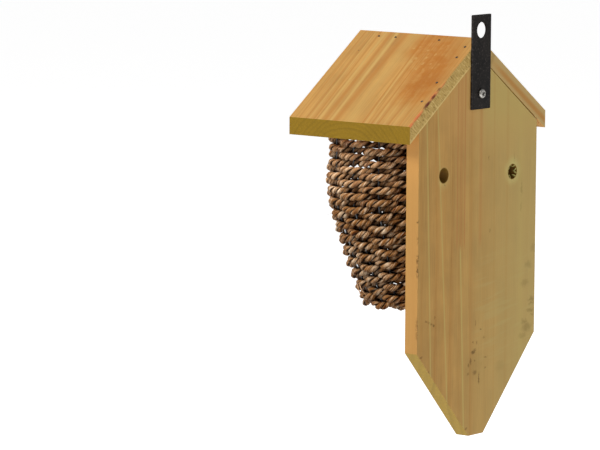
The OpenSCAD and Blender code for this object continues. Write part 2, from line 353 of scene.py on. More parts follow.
TIP = (0, board_hi.y / MM, board_lo.z / MM)          # middle of the foot's tip, rear face
ROOF_SLOPE = 35
ROOF_LENGTH = 113           # from ridge to eave down the slope
RIDGE = (0, TIP[1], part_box("roof_panel_right")[1].z / MM)
WOOD_SPECULAR = 0.15
WOOD_RELIEF = 0.0006        # metres
WOOD_WEAR = 0.7             # width of the rounding along the boards' edges
ROOF_RING, BOARD_RING = 3.2, 6.5
RIGHT_PITH, LEFT_PITH, BOARD_PITH = (-63, -48), (-48, -60), (-30, 95)
HOLE_R = 6
TORN_HOLE = (-47, 210.5)    # middles of the wall holes, across and above the tip
PLAIN_HOLE = (47, 215)

PINE = rgb(193, 146, 77)
PINE_LATE = rgb(180, 127, 62)
PINE_PALE = rgb(203, 167, 96)
PINE_ORANGE = rgb(183, 122, 54)
END_GRAIN = rgb(136, 106, 22)
BOARD = rgb(172, 133, 72)
BOARD_LATE = rgb(166, 122, 62)
BOARD_EDGE = rgb(182, 134, 73)
BOARD_GREEN = rgb(174, 154, 95)
# painted light near the gable, against the roof's shade
BOARD_LIT_WARM = rgb(190, 147, 86)
BOARD_HIGH = rgb(174, 153, 89)
PALE_GREEN = rgb(178, 156, 90)
RED_BROWN = rgb(168, 112, 60)
FOOT_CUT = rgb(156, 128, 54)
ORANGE_STAIN = rgb(180, 108, 28)
TORN_ORANGE = rgb(205, 110, 62)
DARK_RED = rgb(92, 34, 16)
SAWN = rgb(180, 149, 84)
SAWN_PALE = rgb(214, 186, 120)
SAWN_DARK = rgb(126, 98, 44)
PLANED = rgb(176, 149, 95)
PLANED_BAND = rgb(170, 119, 57)
DIRT = rgb(92, 66, 30)
DARK_SPOT = rgb(116, 98, 50)
# painted shade inside the wall holes and on the gable's upper edges
HOLE_SHADE = rgb(122, 90, 34)
HOLE_RING = rgb(190, 184, 116)

# Stripes of the roof panels: place at the ridge and at the eave, half width, strength.
ROOF_PALE = [
    (-82.5, -79, 2.6, 0.8), (-94, -91, 2.2, 0.75), (-104.5, -101, 1.2, 0.5), (-62, -61, 9, 0.4),
    (-50.5, -44.5, 1.3, 0.7), (-42, -35, 1.3, 0.6), (-30, -26.5, 1.6, 0.5), (-20, -17, 1.6, 0.5)]
ROOF_ORANGE = [
    (-73, -74.5, 4.5, 0.75), (-88.5, -85, 3, 0.7), (-99.5, -96, 1.6, 0.7), (-108, -104, 1.2, 0.5),
    (-114.5, -111, 1.5, 0.5), (-52.5, -47, 1.1, 0.9), (-46.5, -41.5, 0.9, 0.6),
    (-41, -38, 1, 0.8), (-36, -32, 0.9, 0.6), (-25, -22, 1.2, 0.6), (-14, -11, 1.4, 0.6)]
# Spots of the right panel: across, down the slope, half sizes and strength.
STAIN = [(-38, 12, 26, 26, 1), (-24, 38, 24, 34, 1), (-20, 66, 20, 24, 1), (-46, 12, 12, 14, 0.6)]
STAIN_CORE = [(-18, 58, 17, 19, 1), (-20, 34, 12, 16, 0.6)]
FLECKS = [
    (-54.8, 18.6, 1.6, 1.4, 0.7), (-49.3, 15.8, 1.5, 1, 0.6), (-45.6, 30.5, 1.4, 2, 0.8),
    (-36, 28.5, 1.3, 1.6, 0.9), (-34.8, 36.4, 1.2, 1.6, 0.8), (-27.2, 35.7, 1.4, 1.8, 0.7),
    (-39.8, 19.6, 1.4, 1.2, 0.7), (-29.7, 24.4, 1.2, 1.8, 0.7), (-47, 35.2, 1.6, 1.4, 0.7),
    (-23, 41, 1.2, 1.6, 0.5), (-30.7, 43, 1.3, 1.3, 0.5), (-37.5, 43.5, 1.4, 1.2, 0.6),
    (-24.6, 12.4, 1.2, 1.2, 0.5)]
PIN_HOLES = [(-106.6, 25.6, 0.9, 0.9, 0.8)]
# The torn rear border of the right panel: dark red past its middle, orange round that and below.
TORN_DARK = [(-0.6, 85, 1.7, 6, 1), (-0.6, 75, 1.3, 4, 0.9), (-0.8, 66, 1.1, 3, 0.7)]
TORN_BRIGHT = [
    (-0.4, 60, 1, 5, 0.5), (-0.6, 100, 1.7, 9, 1), (-0.6, 111, 1.6, 5, 0.9),
    (-1, 74, 2.2, 7, 0.7)]
LIP = -10.8                 # depth of the pale lower lip of the sawn edge
NICK = (96.4, -6.6)         # a dark nick in that edge: down the slope, and its depth
BAND = -6.6                 # depth of the orange band of the left panel's planed edge
BAND_FADE = (18, 50)        # the band comes in between these places down the slope
EDGE_SHADE = [(0, 24, 9, 3, 1)]     # a slightly darker place in the planed edge


def roof_material(name, side, pith, seed):
    """side is 1 for the right panel. The grain runs down the slope."""
    slope = math.radians(ROOF_SLOPE)
    down = (side * math.cos(slope), 0, -math.sin(slope))
    out = (side * math.sin(slope), 0, math.cos(slope))
    wood = Wood(name, RIDGE, down, REAR, out, pith, ROOF_RING, PINE, PINE_LATE, END_GRAIN, seed)
    t = wood.tree
    for stripes, colour in ((ROOF_PALE, PINE_PALE), (ROOF_ORANGE, PINE_ORANGE)):
        for ridge, eave, width, share in stripes:
            wood.tint(wood.stripe(ridge, eave, ROOF_LENGTH, width), colour, share)
    rear = t.facing(REAR, 0.4, 0.8)
    if side == 1:
        mottle = t.step(t.noise(wood.place, 0.12, 4, 0.65), 0.3, 0.62, 0.5, 1.0)
        core = t.times(wood.spots(STAIN_CORE, 2.0, 0.15), mottle)
        wood.tint(t.times(wood.spots(STAIN, 3.0, 0.06), mottle), ORANGE_STAIN, 0.8)
        wood.tint(core, shaded(ORANGE_STAIN, 0.88), 0.6)
        wood.tint(wood.spots(FLECKS, 0.8, 0.5), PINE_PALE, 0.6)
        wood.tint(wood.spots(PIN_HOLES, 0.3, 0.5), DIRT, 0.8)
        sawn_edge(wood, rear)
        border = t.step(wood.through, -1.7, -0.7)
        wood.tint(t.times(wood.spots(TORN_BRIGHT, 0.5, 0.3), border), TORN_ORANGE, 0.9)
        wood.tint(t.times(wood.spots(TORN_DARK, 0.4, 0.5), border), DARK_RED, 1.0)
    else:
        planed_edge(wood, rear)
    return wood.finish(0.6, 0.35)


def sawn_edge(wood, rear):
    """Fuzzy sawn face: short torn fibres that cross the panel's thickness."""
    t = wood.tree
    along, depth = wood.along, wood.through
    slant = t.plus(along, t.times(depth, -0.35))
    fuzz = t.noise(t.vector(t.times(slant, 0.75), t.times(depth, 0.16), 2.0), 1, 4, 0.7)
    wood.tint(rear, SAWN, 1.0)
    wood.tint(t.times(rear, t.step(fuzz, 0.52, 0.66)), SAWN_PALE, 0.85)
    wood.tint(t.times(rear, t.step(fuzz, 0.46, 0.34)), SAWN_DARK, 0.9)
    wood.tint(t.times(rear, t.near_zero(t.plus(depth, -LIP), 0.9, 0.2)), SAWN_PALE, 0.7)
    nick = t.plus(t.math("ABSOLUTE", t.plus(along, -NICK[0])),
                  t.math("ABSOLUTE", t.plus(depth, -NICK[1])))
    wood.tint(t.times(rear, t.step(nick, 1.5, 0.6)), SAWN_DARK, 0.9)
    wood.height = t.plus(wood.height, t.times(t.times(rear, fuzz), 4.0))


def planed_edge(wood, rear):
    """Smooth edge with an orange band of late wood along its lower half."""
    t = wood.tree
    wood.tint(rear, PLANED, 0.9)
    band = t.near_zero(t.plus(wood.through, -BAND), 3.6, 0.6)
    wood.tint(t.times(t.times(rear, band), t.step(wood.along, *BAND_FADE)), PLANED_BAND, 0.85)
    wood.tint(t.times(rear, wood.spots(EDGE_SHADE, 0.4)), SAWN_DARK, 0.3)


# Stripes of the backboard: place at the tip and at BOARD_RUN above it, half width, strength.
BOARD_RUN = 200
BOARD_PALE = [(59.7, 67.4, 1.6, 0.8), (37.4, 51.1, 1.5, 0.8), (-62, -59, 5, 0.3)]
BOARD_LOW_PALE = [(16.3, 25.9, 1.7, 0.9)]
BOARD_HIGH_RED = [
    (28.1, 28.1, 1.7, 0.6), (18.2, 18.4, 1.3, 0.75), (22, 23, 4, 0.35), (-3, -3.3, 3.4, 0.45)]
BOARD_FAINT = [
    (35, 38, 1.5, 0.35), (56, 60, 2, 0.3), (8, 9, 2, 0.35), (-24, -22, 1.6, 0.25),
    (-40, -40, 3, 0.2), (73, 76, 1.4, 0.35)]
# Dirt on the backboard's rear: across, height above the tip, half sizes and strength.
DIRT_MARKS = [
    (1.6, 91.3, 0.8, 2.4, 0.6), (-5.6, 85.5, 1.6, 1, 0.7), (-9.9, 78.3, 2.4, 0.9, 0.5),
    (4.8, 75.9, 1.3, 1.3, 0.7), (-0.1, 75.3, 0.8, 1.6, 0.6), (4.6, 67.9, 3.2, 1.7, 1),
    (2.2, 69.4, 2, 1.2, 0.7), (-12.4, 62.1, 2.8, 0.8, 0.7), (8, 60.8, 1.5, 2.8, 0.8),
    (2.4, 60.6, 1.1, 1.1, 0.6), (10.7, 57.8, 1.3, 2.2, 0.7), (-12.6, 53.3, 1.8, 0.7, 0.6),
    (2.2, 50.9, 3.2, 2.2, 0.7), (11.3, 50.8, 2, 1.4, 0.6), (-3.6, 45.5, 0.9, 5.2, 0.9),
    (13.2, 6.2, 1.7, 1, 0.7), (68.6, 100.1, 2.4, 0.7, 0.7), (65, 98.6, 2.2, 0.6, 0.5),
    (61.4, 97, 2, 0.7, 0.7), (58.4, 95.8, 1.5, 1.2, 0.9), (57.1, 102.2, 1.1, 1.4, 0.6),
    (-14, 224.4, 0.8, 2, 0.6), (-16.6, 164.8, 0.9, 2, 0.6), (-49.5, 221, 0.5, 4.5, 0.7),
    (45.4, 207.3, 0.8, 1, 0.9), (75, 71.8, 2.2, 1.2, 0.8), (64.8, 59, 1.2, 1.4, 0.8)]
# Soft darker patches on the backboard's rear: across, height above the tip, half sizes and
# strength.
DARK_SPOTS = [
    (-71, 132, 5, 3.4, 0.6), (-66, 117, 6, 3.2, 0.5), (-76, 102.5, 6, 1.6, 0.9),
    (-78, 99, 5, 1.3, 0.9), (-75, 94, 6, 1.5, 0.9), (-78, 90, 4, 1.2, 0.7),
    (-66, 85, 5, 2.4, 0.8), (-70, 80, 7, 4, 0.8), (-64, 73.5, 6, 3, 0.5), (-77, 145, 4, 4, 0.4),
    (-60, 196, 1.3, 7, 0.6), (-60, 181, 1.2, 5, 0.5), (-32, 52, 7, 5, 0.3), (7, 56, 16, 12, 0.25)]
HOLE_RINGS = [(-47, 211, 10, 11, 1), (47, 213, 7.6, 9, 0.5)]
# Dirt on the board's rear corner at +X: height above the tip, half length and strength.
CORNER_DIRT = [(181, 1.6, 1), (151, 5, 0.9), (141, 6, 1), (166, 5, 0.4), (95, 12, 0.5)]


def backboard_material():
    wood = Wood("pine_backboard", TIP, UP, RIGHT, REAR, BOARD_PITH, BOARD_RING,
                BOARD, BOARD_LATE, FOOT_CUT, 3.1)
    t = wood.tree
    # greener towards -X, and near the gable warmer in the middle, as painted light against the
    # roof's shade, and paler towards -X
    wood.tint(t.step(wood.across, 55, -75), BOARD_GREEN, 0.7)
    upper = t.step(wood.along, 215, 275)
    wood.tint(t.times(upper, t.step(wood.across, 70, 20)), BOARD_LIT_WARM, 0.6)
    wood.tint(t.times(upper, t.step(wood.across, 10, -18)), BOARD_HIGH, 0.8)
    high, low = t.step(wood.along, 150, 160), t.step(wood.along, 160, 150)
    for stripes, colour, part in ((BOARD_PALE, PALE_GREEN, None),
                                  (BOARD_LOW_PALE, PALE_GREEN, low),
                                  (BOARD_HIGH_RED, RED_BROWN, high),
                                  (BOARD_FAINT, BOARD_LATE, None)):
        for tip, top, width, share in stripes:
            mask = wood.stripe(tip, top, BOARD_RUN, width)
            wood.tint(mask if part is None else t.times(mask, part), colour, share)
    # faint saw marks on the -X half
    saw = t.noise(t.vector(t.plus(t.times(wood.along, 0.22), t.times(wood.across, 0.03)),
                           t.times(wood.across, 0.02)), 1)
    sawn = t.times(t.step(wood.along, 170, 110), t.step(wood.along, 40, 75))
    sawn = t.times(sawn, t.step(saw, 0.5, 0.65))
    wood.tint(t.times(sawn, t.step(wood.across, 12, -12)), BOARD_GREEN, 0.4)
    rear = t.facing(REAR, 0.5, 0.8)
    wood.tint(t.times(wood.spots(DARK_SPOTS, 1.6, 0.3), rear), DARK_SPOT, 0.55)
    wood.tint(t.times(wood.spots(DIRT_MARKS, 0.9, 0.6), rear), DIRT, 0.75)
    side = t.facing(RIGHT, 0.6, 0.9)
    wood.tint(side, BOARD_EDGE, 0.7)
    # painted light: the side edge is lighter near the top, where the roof shades it
    wood.tint(t.times(side, t.step(wood.along, 190, 235)), shaded(BOARD_EDGE, 1.2), 0.7)
    # dirt along the rear corner on the +X side
    border = t.step(wood.through, -2.2, -0.6)
    dirty = 0.0
    for height, half, share in CORNER_DIRT:
        mark = t.near_zero(t.plus(wood.along, -height), half, half * 0.3, share)
        dirty = t.math("MAXIMUM", dirty, mark)
    ragged = t.step(t.noise(wood.place, 0.5, 3), 0.4, 0.55)
    corner = t.step(wood.across, board_hi.x / MM - 1.6, board_hi.x / MM - 0.4)
    wood.tint(t.times(t.times(dirty, border), t.times(ragged, corner)), DIRT, 0.9)
    # the wall holes, pale round their rims, with painted shade inside
    rings = wood.spots(HOLE_RINGS, 0.8, 0.2)
    wood.tint(t.times(rings, rear), HOLE_RING, 0.6)
    for x, z in (TORN_HOLE, PLAIN_HOLE):
        across_along = t.vector(wood.across, wood.along)
        away = t.vectors("DISTANCE", across_along, (x, z, 0))["Value"]
        shade_in_hole = t.step(away, HOLE_R + 0.7, HOLE_R + 0.1)
        wood.tint(shade_in_hole, HOLE_SHADE, 0.9)
        wood.end_grain = t.mix(t.times(shade_in_hole, 0.9), wood.end_grain, HOLE_SHADE)
    # painted shade on the gable's upper edges, which lie in the dark under the roof
    under_roof = t.times(t.step(wood.along, 240, 250), t.facing(UP, 0.5, 0.7))
    wood.end_grain = t.mix(under_roof, wood.end_grain, shaded(HOLE_SHADE, 0.5))
    return wood.finish(0.62, 0.25)


def soften_edges(name, width):
    modifier = nodes[name].modifiers.new("worn_edges", "BEVEL")
    modifier.width = width * MM
    modifier.segments = 2
    modifier.limit_method = "ANGLE"
    modifier.angle_limit = math.radians(35)


def set_material(name, material):
    mesh = nodes[name].data
    mesh.materials.clear()
    mesh.materials.append(material)


# ---------------------------------------------------------------- metal

PAINT_DARK = rgb(4, 2, 1)
PAINT_LIGHT = rgb(24, 20, 17)
PAINT_SPECK = rgb(76, 69, 66)
PAINT_EDGE_LIGHT = rgb(78, 74, 73)
ZINC = rgb(186, 183, 178)
ZINC_DULL = rgb(118, 114, 107)
NAIL = rgb(92, 84, 76)
NAIL_DULL = rgb(58, 50, 44)
STAPLE = rgb(170, 170, 172)
STAPLE_DULL = rgb(130, 128, 126)
WIRE_COAT = rgb(22, 24, 28)
WIRE_BARE = rgb(200, 204, 208)
STRAP_WEAR = 0.2
BRIGHT_UNDER = 150          # the wires show bright metal below here, and hardly above: partly rubbed, partly painted glints
DULL_OVER = 185


def black_paint():
    """Black paint with grey specks, and a patchy painted highlight along the strap's long edges.
    """
    t = Tree("black_paint")
    place = t.object_mm()
    speck = t.noise(place, 0.5, 4, 0.7)
    broad = t.noise(place, 0.09, 3)
    colour = t.mix(t.step(broad, 0.35, 0.65), PAINT_DARK, PAINT_LIGHT)
    colour = t.mix(t.step(speck, 0.5, 0.7, 0.0, 0.6), colour, PAINT_SPECK)
    from_middle = t.math("ABSOLUTE", t.parts(place)[0])
    # a patchy painted highlight along the strap's long edges
    edge = t.step(from_middle, strap_hi.x / MM - 1.0, strap_hi.x / MM - 0.2)
    edge_highlight = t.times(edge, t.step(speck, 0.3, 0.7))
    colour = t.mix(t.times(edge_highlight, 0.55), colour, PAINT_EDGE_LIGHT)
    t.surface({"Base Color": colour, "Roughness": t.step(speck, 0.2, 0.8, 0.5, 0.7),
               "Specular IOR Level": 0.14})
    t.bump(speck, 0.25, 0.0003)
    return t.material


def plated(name, colour, dull, rough):
    """Bare or plated metal with dull patches."""
    t = Tree(name)
    place = t.object_mm()
    patch = t.noise(place, 0.7, 3, 0.6)
    t.surface({"Base Color": t.mix(t.step(patch, 0.4, 0.65), colour, dull), "Metallic": 1.0,
               "Roughness": t.step(patch, 0.3, 0.7, rough, rough + 0.2)})
    t.bump(t.noise(place, 3.0), 0.1, 0.0002)
    return t.material


def rib_wire():
    """Dark coated wire, bright here and there, mostly low down: partly rubbed, partly painted
    glints.
    """
    t = Tree("coated_wire")
    place = t.object_mm()
    height = t.parts(place)[2]
    low = t.step(height, TIP[2] + DULL_OVER, TIP[2] + BRIGHT_UNDER, 0.1, 1.0)
    # bright metal patches, partly wear and partly painted glints
    bare_and_glint = t.times(t.step(t.noise(place, 0.13, 3, 0.65), 0.52, 0.6), low)
    t.surface({"Base Color": t.mix(bare_and_glint, WIRE_COAT, WIRE_BARE),
               "Metallic": t.step(bare_and_glint, 0.0, 1.0, 0.3, 1.0), "Roughness": 0.32})
    t.bump(t.noise(place, 1.5), 0.1, 0.0002)
    return t.material


# ---------------------------------------------------------------- rope

FIBRE_DARK = rgb(94, 42, 2)
FIBRE_MID = rgb(153, 104, 55)
FIBRE_LIGHT = rgb(238, 213, 180)
DRY_MID = rgb(170, 126, 82)
DRY_LIGHT = rgb(206, 166, 118)
STRAW_MID = rgb(206, 164, 126)
STRAW_LIGHT = rgb(234, 200, 166)
SPLINTER_DARK = rgb(150, 140, 70)
SPLINTER_MID = rgb(182, 172, 100)
SPLINTER_LIGHT = rgb(206, 198, 132)
PALE_HEIGHTS = (185, 215)   # the rope grows paler from the first height to the second
DIM_HEIGHTS = (110, 150)    # and it is darker under these


def rope_material(name, dark, mid, light, shade_creases=True):
    """Twisted grass. The UV map holds turns round and millimetres along each strand, and
    depth is how far out a place lies from the surface that the ribs lie in.

    If asked for, the side of a strand that faces the other gets painted shade, as in a dark
    crease.
    """
    t = Tree(name)
    uv = t.nodes.new("ShaderNodeUVMap")
    uv.uv_map = "strand"
    turn, along, _ = t.parts(uv.outputs[0])
    depth = t.nodes.new("ShaderNodeAttribute")
    depth.attribute_name = "depth"
    place = t.object_mm()
    height = t.parts(place)[2]
    # the tone changes from blade to blade and from place to place
    twisted = t.plus(t.times(turn, STRAND_GIRTH), t.times(along, 0.22))
    fibre = t.noise(t.vector(t.times(twisted, 1.25), t.times(along, 0.09)), 1, 3, 0.65)
    blade = t.noise(t.vector(t.times(twisted, 0.4), t.times(along, 0.06), 7.0), 1)
    piece = t.noise(t.vector(0.0, t.times(along, 0.11), 4.0), 1, 2, 0.6)
    broad = t.times(t.noise(place, 0.03), 0.2)
    tone = t.plus(t.times(piece, 0.45), t.plus(t.times(blade, 0.35), broad))
    colour = t.mix(t.step(tone, 0.38, 0.5), dark, mid)
    colour = t.mix(t.step(tone, 0.5, 0.66), colour, light)
    # along the fibres: streaky tone, with painted shade in the grooves and painted highlights on
    # the ridges
    colour = t.mix(t.step(fibre, 0.34, 0.48, 0.75, 0.0), colour, shaded(dark, 0.3))
    colour = t.mix(t.step(fibre, 0.52, 0.68, 0.0, 0.75), colour, light)
    # painted light: lighter where it faces up and darker where it faces down; also paler near the
    # top of the pocket and darker low down
    high = [TIP[2] + z for z in PALE_HEIGHTS]
    low = [TIP[2] + z for z in DIM_HEIGHTS]
    painted_light_and_tone = t.step(t.parts(t.normal())[2], -0.75, 0.7, 0.5, 1.25)
    colour = t.mix(t.step(height, *high, 0.0, 0.09), colour, light)
    painted_light_and_tone = t.times(painted_light_and_tone, t.step(height, *high, 1.0, 1.3))
    painted_light_and_tone = t.times(painted_light_and_tone, t.step(height, *low, 0.88, 1.0))
    colour = t.dimmed(colour, painted_light_and_tone)
    if shade_creases:
        # painted shade on the side of each strand that faces the other
        crease_shade = t.step(t.math("ABSOLUTE", t.plus(turn, -0.5)), 0.17, 0.33, 0.0, 0.93)
        colour = t.mix(crease_shade, colour, shaded(dark, 0.06))
    # painted shade where the rope lies deep in the wall
    recess_shade = t.step(depth.outputs["Fac"], 4.0, -1.0, 0.0, 0.85)
    colour = t.mix(recess_shade, colour, shaded(dark, 0.15))
    t.surface({"Base Color": colour, "Roughness": 0.55, "Specular IOR Level": 0.05})
    t.bump(t.plus(fibre, t.times(blade, 0.6)), 0.8, 0.001)
    return t.material


# Shape of the pocket as in part.scad, in millimetres. Heights are above the backboard's tip.
POCKET_W = (pocket_hi.x - pocket_lo.x) / MM
POCKET_D = 106              # depth at the top
POCKET_FRONT = (pocket_lo.y - board_hi.y) / MM
POCKET_BASE = (pocket_lo.z - board_lo.z) / MM
WALL_TOP = (pocket_hi.z - board_lo.z) / MM
TOP_CENTRE = POCKET_FRONT + POCKET_D / 2
BASE_W, BASE_D = 94, 73
SHOULDER = 190              # the wall draws in below this height
LEAN = 6                    # how far the base's middle lies nearer the board than the top's
BELLY_X, BELLY_Y = 1.1, 1.9             # how late its width and its depth draw in
OVAL = 2.5                  # exponent of the oval plan: 2 is an ellipse
CORNER = 8                  # rounding of the base's edge
RIB_DEPTH = 6               # from the pocket's outer face in to the ribs
SILL = 204                  # lower edge of the entrance
RIM = WALL_TOP + 3.5        # height of the rim wire
RIBS = 17

# The rope and its weave, in millimetres.
ROPE_R = 3.2                # outer radius of the two strands together
STRAND_R = 1.62
STRAND_OFFSET = 1.62
STRAND_GIRTH = 10           # distance round one strand
TWIST = 13.6                # length of one full turn of the two strands
SWING = 3.0                 # how far the rope's middle swings to each side of the ribs
SWING_START = 14            # the swing grows from here, out from the middle of the floor
SWING_GROWTH = 10           # over this distance
END_LOOP = SWING + 1.0      # how far the rope goes past the end rib where it doubles back
FIRST_REACH = 4.0           # where the rope starts, from the middle of the floor
ROW = 5.15                  # distance from row to row
TOP_ROW = 5.0               # the same beside the entrance, where the rows are looser
STEP = 1.75                 # distance between rings of a strand
SIDES = 8
SAMPLES_PER_RIB = 14        # points of the rope's path from rib to rib, and round a bend
BEND_SAMPLES = 14
# The top rows bulge out at the front right: how far, at what turn and height, how widely.
BULGE, BULGE_TURN, BULGE_HEIGHT = 3.2, 0.6, 208
BULGE_SPREAD, BULGE_RISE = 0.8, 16
# The lowest rows stand out round the edge of the floor: how far, how widely.
CORNER_PUSH, CORNER_SPREAD = 2.4, 6
# Hand weaving: the rows wander up and down, less within these distances of floor and rim,
# and shift a little from rib to rib.
FADE_FLOOR, FADE_RIM = 20, 12
JITTER = 0.45
ROW_SEED, SWING_SEED, WALL_SEED, RIM_SEED = 11, 12, 21, 41


def down(z):
    """How far height z is below the shoulder: 0 there and higher up, 1 at the base."""
    return np.clip((SHOULDER - z) / (SHOULDER - POCKET_BASE), 0, None)


def half_sizes(z):
    """Half width and half depth of the pocket's outer face at height z."""
    return (POCKET_W / 2 - (POCKET_W - BASE_W) / 2 * down(z) ** BELLY_X,
            POCKET_D / 2 - (POCKET_D - BASE_D) / 2 * down(z) ** BELLY_Y)


def oval(half_x, half_y, turn):
    """Distance from the middle to the oval at each turn angle."""
    x, y = abs(np.sin(turn)) / half_x, abs(np.cos(turn)) / half_y
    return (x ** OVAL + y ** OVAL) ** (-1 / OVAL)


FLOOR_Z = POCKET_BASE + RIB_DEPTH
FLOOR_R = CORNER - RIB_DEPTH
FLOOR_REACH = (BASE_W + BASE_D) / 4 - CORNER    # from the middle of the floor to its rounded edge
CORNER_LENGTH = FLOOR_R * math.pi / 2


def wall_heights():
    """Table of the distance up the wall against height, from its rounded foot to the rim."""
    z = np.linspace(FLOOR_Z + FLOOR_R, RIM, 300)
    half_x, half_y = half_sizes(z)
    half = (half_x + half_y) / 2
    length = np.concatenate([[0], np.cumsum(np.hypot(np.diff(z), np.diff(half)))])
    return length, z


WALL_LENGTH, WALL_Z = wall_heights()
WALL_START = FLOOR_REACH + CORNER_LENGTH


def reach_of(z):
    """Distance from the middle of the floor, out and up the wall, to height z."""
    return WALL_START + np.interp(z, WALL_Z, WALL_LENGTH)


def middle_surface(turn, reach):
    """Points on the surface that the ribs lie in. reach is measured from the floor's middle."""
    corner = np.clip((reach - FLOOR_REACH) / FLOOR_R, 0, math.pi / 2)
    wall_z = np.interp(reach - WALL_START, WALL_LENGTH, WALL_Z)
    z = np.where(reach < WALL_START, FLOOR_Z + FLOOR_R * (1 - np.cos(corner)), wall_z)
    inset = RIB_DEPTH + np.where(reach < WALL_START, FLOOR_R * (1 - np.sin(corner)), 0)
    half_x, half_y = half_sizes(z)
    share = np.clip(reach / FLOOR_REACH, 0.02, 1)
    r = oval(half_x - inset, half_y - inset, turn) * share
    centre = TOP_CENTRE + LEAN * down(z)
    return np.stack([r * np.sin(turn), centre - r * np.cos(turn), z], -1)


def surface_frame(turn, reach):
    """The surface's point, outward normal and sideways direction."""
    p = middle_surface(turn, reach)
    side = middle_surface(turn + 0.01, reach) - middle_surface(turn - 0.01, reach)
    below = middle_surface(turn, np.maximum(reach - 0.6, 0.1))
    up = middle_surface(turn, reach + 0.6) - below
    normal = np.cross(side, up)
    normal /= np.linalg.norm(normal, axis=-1, keepdims=True)
    side /= np.linalg.norm(side, axis=-1, keepdims=True)
    return p, normal, side


def rib_turns():
    """Turn angle of each rib, measured on its CAD node near the top."""
    turns = []
    for i in range(RIBS):
        points = np.array([v.co for v in nodes[f"rib_{i + 1:02d}"].data.vertices])
        high = points[points[:, 2] > points[:, 2].max() - 0.002].mean(0)
        x, y = high[0] / MM, (high[1] - board_hi.y) / MM
        turns.append(math.atan2(x, TOP_CENTRE - y) % (2 * math.pi))
    turns[0] = 0.0      # the front rib, which could also come out as a whole turn
    return np.array(turns)


RIB_TURNS = rib_turns()


def turn_at(place):
    """Turn angle at a place counted in ribs: 0 is rib_01, 17 is rib_01 again."""
    lap = np.floor(place / RIBS)
    wrapped = np.concatenate([RIB_TURNS, [2 * math.pi]])
    return np.interp(place - lap * RIBS, np.arange(RIBS + 1), wrapped) + lap * 2 * math.pi


def waviness(turn, reach):
    """How far the rows wander up and down together, by hand weaving."""
    return (0.9 * np.sin(turn + 1.1 + reach * 0.013)
            + 0.7 * np.sin(2 * turn + 0.4 - reach * 0.021)
            + 0.5 * np.sin(3 * turn + 2.0 + reach * 0.05)
            + 0.35 * np.sin(5 * turn + reach * 0.083))


def smooth_random(count, spacing, seed):
    """Smooth random values between -1 and 1 for each of count samples."""
    knots = np.random.default_rng(seed).uniform(-1, 1, int(count / spacing) + 4)
    at = np.arange(count) / spacing
    i = at.astype(int)
    f = at - i
    f = f * f * (3 - 2 * f)
    return knots[i] * (1 - f) + knots[i + 1] * f


def woven_path():
    """The middle line of the one rope: a spiral up from the floor, then rows to and fro
    above the sill that double back round the ribs beside the entrance."""
    laps = int((reach_of(SILL) - FIRST_REACH) / ROW)
    end = laps * RIBS + RIBS - 1
    climb = (reach_of(SILL) - FIRST_REACH) / end
    place = np.arange(0, end * SAMPLES_PER_RIB + 1) / SAMPLES_PER_RIB
    turns, reaches = [turn_at(place)], [FIRST_REACH + climb * place]
    growth = np.clip((reaches[0] - SWING_START) / SWING_GROWTH, 0, 1)
    swings = [SWING * np.cos(math.pi * place) * growth]
    slides = [np.zeros_like(place)]
    top = reach_of(WALL_TOP - ROPE_R)
    rows = round((top - reach_of(SILL)) / TOP_ROW)

    def row_reach(row, rib):
        """The first rows follow the spiral's slant, the last one lies level under the rim."""
        start = reach_of(SILL) - climb * (RIBS - 1 - rib)
        return start + (top - start) * row / rows

    sign = math.cos(math.pi * end)
    heading = -1
    for row in range(rows):
        # round the end rib, from one face of the wall to the other
        rib = RIBS - 1 if heading < 0 else 1
        bend = np.linspace(0, math.pi, BEND_SAMPLES)[1:-1]
        turns.append(np.full_like(bend, RIB_TURNS[rib]))
        reaches.append(row_reach(row + bend / math.pi, rib))
        swings.append(SWING * sign * np.cos(bend))
        slides.append(-heading * END_LOOP * np.sin(bend))
        # along the row to the other side of the entrance
        travel = np.arange(0, (RIBS - 2) * SAMPLES_PER_RIB + 1) / SAMPLES_PER_RIB
        turns.append(turn_at(rib + heading * travel))
        reaches.append(row_reach(row + 1, rib + heading * travel))
        swings.append(-SWING * sign * np.cos(math.pi * travel))
        slides.append(np.zeros_like(travel))
        sign *= -math.cos(math.pi * (RIBS - 2))
        heading = -heading
    turn, reach, swing, slide = (np.concatenate(v) for v in (turns, reaches, swings, slides))
    fade = (np.clip((reach - FLOOR_REACH) / FADE_FLOOR, 0, 1)
            * np.clip((top - reach) / FADE_RIM, 0, 1))
    jitter = JITTER * smooth_random(len(turn), SAMPLES_PER_RIB * 0.8, ROW_SEED)
    beside = (turn % (2 * math.pi) - BULGE_TURN) / BULGE_SPREAD
    above = (reach - reach_of(BULGE_HEIGHT)) / BULGE_RISE
    bulge = BULGE * np.exp(-beside ** 2 - above ** 2)
    bulge = bulge + CORNER_PUSH * np.exp(-((reach - WALL_START) / CORNER_SPREAD) ** 2)
    reach = reach + fade * (waviness(turn, reach) + jitter)
    swing = swing * (1 + 0.16 * smooth_random(len(turn), SAMPLES_PER_RIB, SWING_SEED))
    p, normal, side = surface_frame(turn, reach)
    middle = p + normal * (swing + bulge)[:, None] + side * slide[:, None]
    return np.hstack([middle, p, normal])


def resample(line, step):
    """The line's rows a fixed step apart, lightly smoothed. Their first three values are
    points on the rope's middle, then points on the ribs' surface and its normals."""
    for _ in range(2):
        line[1:-1] = (line[:-2] + 2 * line[1:-1] + line[2:]) / 4
    pieces = np.linalg.norm(np.diff(line[:, :3], axis=0), axis=1)
    length = np.concatenate([[0], np.cumsum(pieces)])
    at = np.linspace(0, length[-1], int(length[-1] / step))
    return np.stack([np.interp(at, length, column) for column in line.T], -1), at


def unit(v):
    return v / np.linalg.norm(v, axis=-1, keepdims=True)


